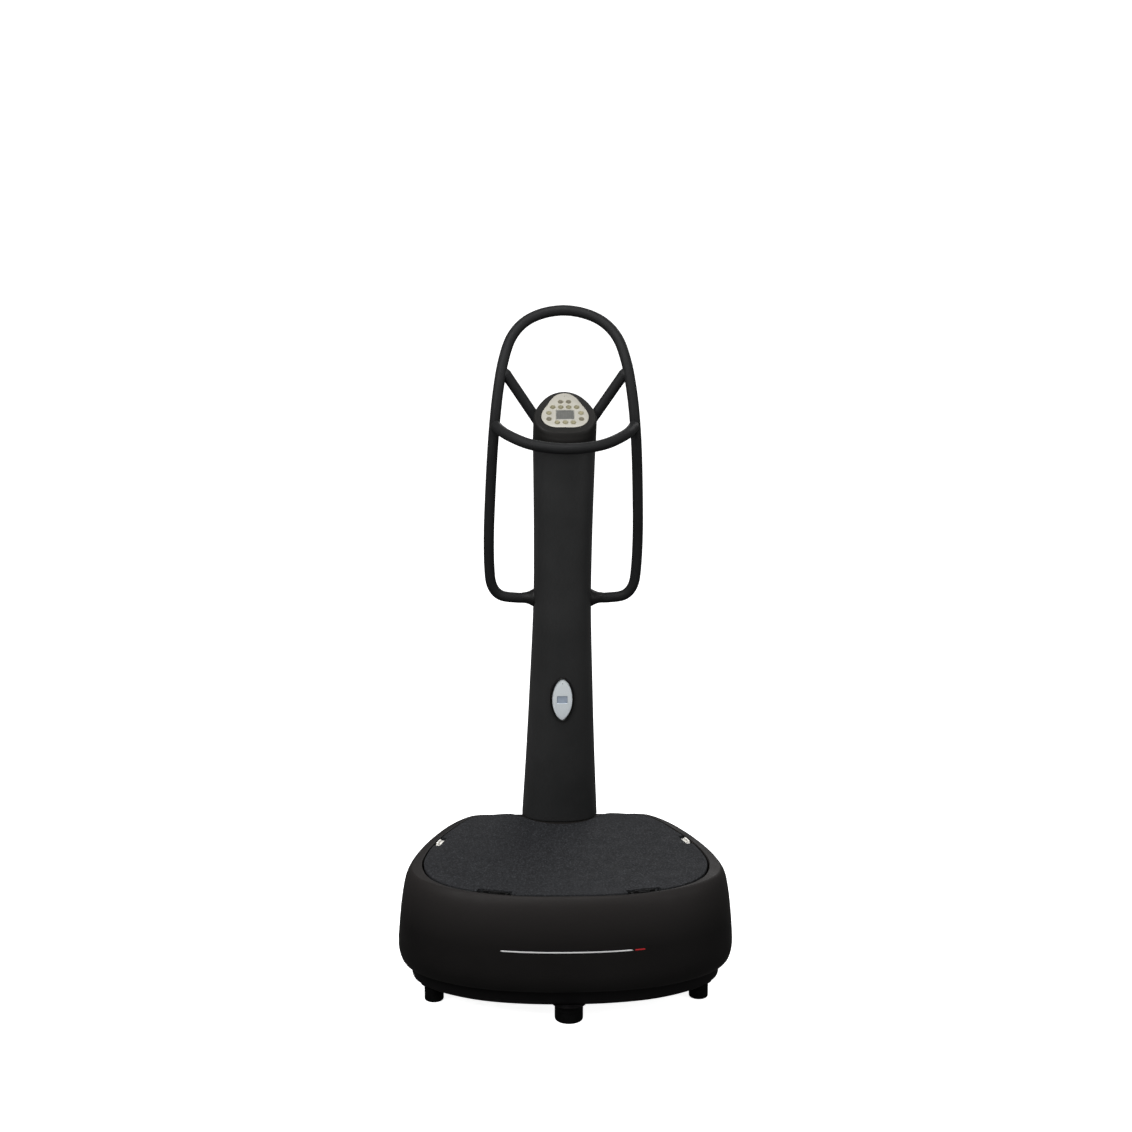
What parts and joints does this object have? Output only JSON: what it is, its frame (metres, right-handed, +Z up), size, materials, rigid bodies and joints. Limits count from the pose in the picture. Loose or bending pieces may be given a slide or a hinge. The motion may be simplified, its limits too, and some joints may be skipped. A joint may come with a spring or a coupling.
{
  "type": "vibration plate",
  "caption": "Gym machine: a sprung, motor-shaken standing platform in a wide base, with a leaning column, a sloping push-button console and a tubular handle loop.",
  "frame": {"origin": "middle of the footprint, on the floor", "axes": "+Z up; -Y is the side the user steps on from; +X is to the right of someone looking at the console"},
  "size_m": [0.7522, 0.75, 1.5237],
  "materials": {
    "cover": "satin moulded black plastic",
    "underpan": "matt black moulded plastic",
    "frame_steel": "black powder coat",
    "handle": "charcoal textured powder coat",
    "console_housing": "satin moulded black plastic",
    "console_panel": "warm light beige, satin",
    "keys": "olive keys with a darker ring",
    "lcd": "grey liquid crystal window",
    "circuit_board": "green lacquer",
    "display_rim": "gloss black",
    "display_panel": "cool light grey, satin",
    "mat": "speckled dark blue-grey pebbled rubber",
    "black_rubber": "matt black rubber",
    "bright_steel": "brushed steel",
    "motor_paint": "dark grey enamel",
    "switch_red": "red rocker"
  },
  "bodies": {
    "base": {"base_frame": "frame_steel", "underpan": "underpan", "base_cover": "cover", "column_front_shell": "cover", "column_rear_shell": "cover", "column_mast": "frame_steel", "console_housing": "console_housing", "console_panel": "console_panel", "console_lcd": "lcd", "console_board": "circuit_board", "column_display_bezel": "display_rim", "column_display_panel": "display_panel", "column_display_lcd": "lcd", "handle_loop": "handle", "handle_front_bar": "handle", "handle_brace_left": "handle", "handle_brace_right": "handle", "handle_collar_left": "cover", "handle_collar_right": "cover", "power_inlet": "underpan", "controller_box": "motor_paint", "console_cable": "black_rubber", "wheel_axle": "bright_steel", "isolator_front_left": "black_rubber", "isolator_front_right": "black_rubber", "isolator_rear_left": "black_rubber", "isolator_rear_right": "black_rubber"},
    "platform": {"vibration_plate": "frame_steel", "platform_mat": "mat", "strap_anchor_front_left": "underpan", "strap_anchor_front_right": "underpan", "strap_anchor_rear_left": "bright_steel", "strap_anchor_rear_right": "bright_steel", "motor_left": "motor_paint", "motor_right": "motor_paint"},
    "rotor_left": {"rotor_left": "bright_steel"},
    "rotor_right": {"rotor_right": "bright_steel"},
    "power_switch": {"power_switch": "switch_red"},
    "wheel_left": {"transport_wheel_left": "black_rubber"},
    "wheel_right": {"transport_wheel_right": "black_rubber"},
    "foot_front": {"foot_front": "black_rubber"},
    "foot_left": {"foot_left": "black_rubber"},
    "foot_right": {"foot_right": "black_rubber"},
    "foot_rear_left": {"foot_rear_left": "black_rubber"},
    "foot_rear_right": {"foot_rear_right": "black_rubber"},
    "button_top_1": {"button_top_1": "keys"},
    "button_top_2": {"button_top_2": "keys"},
    "button_upper_1": {"button_upper_1": "keys"},
    "button_upper_2": {"button_upper_2": "keys"},
    "button_upper_3": {"button_upper_3": "keys"},
    "button_upper_4": {"button_upper_4": "keys"},
    "button_side_1": {"button_side_1": "keys"},
    "button_side_2": {"button_side_2": "keys"},
    "button_lower_1": {"button_lower_1": "keys"},
    "button_lower_2": {"button_lower_2": "keys"},
    "button_bottom_1": {"button_bottom_1": "keys"},
    "button_bottom_2": {"button_bottom_2": "keys"},
    "button_bottom_3": {"button_bottom_3": "keys"}
  },
  "joints": [
    {"name": "platform_bounce", "type": "slide", "parent": "base", "child": "platform", "axis": [0, 0, 1], "range_m": [-0.002, 0.002], "stiffness_N_per_m": 200000, "springref_m": 0.00228, "deforming": ["isolator_front_left", "isolator_front_right", "isolator_rear_left", "isolator_rear_right"]},
    {"name": "rotor_left_spin", "type": "hinge", "parent": "platform", "child": "rotor_left", "pos_m": [-0.125, 0, 0.19], "axis": [0, 1, 0], "continuous": true},
    {"name": "rotor_right_spin", "type": "hinge", "parent": "platform", "child": "rotor_right", "pos_m": [0.125, 0, 0.19], "axis": [0, 1, 0], "continuous": true},
    {"name": "power_switch_rock", "type": "hinge", "parent": "base", "child": "power_switch", "pos_m": [0.021, 0.3665, 0.165], "axis": [1, 0, 0], "range_deg": [-9, 9]},
    {"name": "wheel_left_roll", "type": "hinge", "parent": "base", "child": "wheel_left", "pos_m": [-0.092, 0.335, 0.034], "axis": [1, 0, 0], "continuous": true},
    {"name": "wheel_right_roll", "type": "hinge", "parent": "base", "child": "wheel_right", "pos_m": [0.092, 0.335, 0.034], "axis": [1, 0, 0], "continuous": true},
    {"name": "foot_front_turn", "type": "hinge", "parent": "base", "child": "foot_front", "pos_m": [0, -0.322, 0.02], "axis": [0, 0, 1], "continuous": true},
    {"name": "foot_left_turn", "type": "hinge", "parent": "base", "child": "foot_left", "pos_m": [-0.296, -0.209, 0.02], "axis": [0, 0, 1], "continuous": true},
    {"name": "foot_right_turn", "type": "hinge", "parent": "base", "child": "foot_right", "pos_m": [0.296, -0.209, 0.02], "axis": [0, 0, 1], "continuous": true},
    {"name": "foot_rear_left_turn", "type": "hinge", "parent": "base", "child": "foot_rear_left", "pos_m": [-0.165, 0.215, 0.02], "axis": [0, 0, 1], "continuous": true},
    {"name": "foot_rear_right_turn", "type": "hinge", "parent": "base", "child": "foot_rear_right", "pos_m": [0.165, 0.215, 0.02], "axis": [0, 0, 1], "continuous": true},
    {"name": "button_top_1_press", "type": "slide", "parent": "base", "child": "button_top_1", "axis": [0, 0.6157, -0.788], "range_m": [0, 0.001], "stiffness_N_per_m": 600, "springref_m": -0.0005},
    {"name": "button_top_2_press", "type": "slide", "parent": "base", "child": "button_top_2", "axis": [0, 0.6157, -0.788], "range_m": [0, 0.001], "stiffness_N_per_m": 600, "springref_m": -0.0005},
    {"name": "button_upper_1_press", "type": "slide", "parent": "base", "child": "button_upper_1", "axis": [0, 0.6157, -0.788], "range_m": [0, 0.001], "stiffness_N_per_m": 600, "springref_m": -0.0005},
    {"name": "button_upper_2_press", "type": "slide", "parent": "base", "child": "button_upper_2", "axis": [0, 0.6157, -0.788], "range_m": [0, 0.001], "stiffness_N_per_m": 600, "springref_m": -0.0005},
    {"name": "button_upper_3_press", "type": "slide", "parent": "base", "child": "button_upper_3", "axis": [0, 0.6157, -0.788], "range_m": [0, 0.001], "stiffness_N_per_m": 600, "springref_m": -0.0005},
    {"name": "button_upper_4_press", "type": "slide", "parent": "base", "child": "button_upper_4", "axis": [0, 0.6157, -0.788], "range_m": [0, 0.001], "stiffness_N_per_m": 600, "springref_m": -0.0005},
    {"name": "button_side_1_press", "type": "slide", "parent": "base", "child": "button_side_1", "axis": [0, 0.6157, -0.788], "range_m": [0, 0.001], "stiffness_N_per_m": 600, "springref_m": -0.0005},
    {"name": "button_side_2_press", "type": "slide", "parent": "base", "child": "button_side_2", "axis": [0, 0.6157, -0.788], "range_m": [0, 0.001], "stiffness_N_per_m": 600, "springref_m": -0.0005},
    {"name": "button_lower_1_press", "type": "slide", "parent": "base", "child": "button_lower_1", "axis": [0, 0.6157, -0.788], "range_m": [0, 0.001], "stiffness_N_per_m": 600, "springref_m": -0.0005},
    {"name": "button_lower_2_press", "type": "slide", "parent": "base", "child": "button_lower_2", "axis": [0, 0.6157, -0.788], "range_m": [0, 0.001], "stiffness_N_per_m": 600, "springref_m": -0.0005},
    {"name": "button_bottom_1_press", "type": "slide", "parent": "base", "child": "button_bottom_1", "axis": [0, 0.6157, -0.788], "range_m": [0, 0.001], "stiffness_N_per_m": 600, "springref_m": -0.0005},
    {"name": "button_bottom_2_press", "type": "slide", "parent": "base", "child": "button_bottom_2", "axis": [0, 0.6157, -0.788], "range_m": [0, 0.001], "stiffness_N_per_m": 600, "springref_m": -0.0005},
    {"name": "button_bottom_3_press", "type": "slide", "parent": "base", "child": "button_bottom_3", "axis": [0, 0.6157, -0.788], "range_m": [0, 0.001], "stiffness_N_per_m": 600, "springref_m": -0.0005}
  ],
  "couplings": [
    {"joint": "rotor_right_spin", "follows": "rotor_left_spin", "ratio": -1}
  ]
}
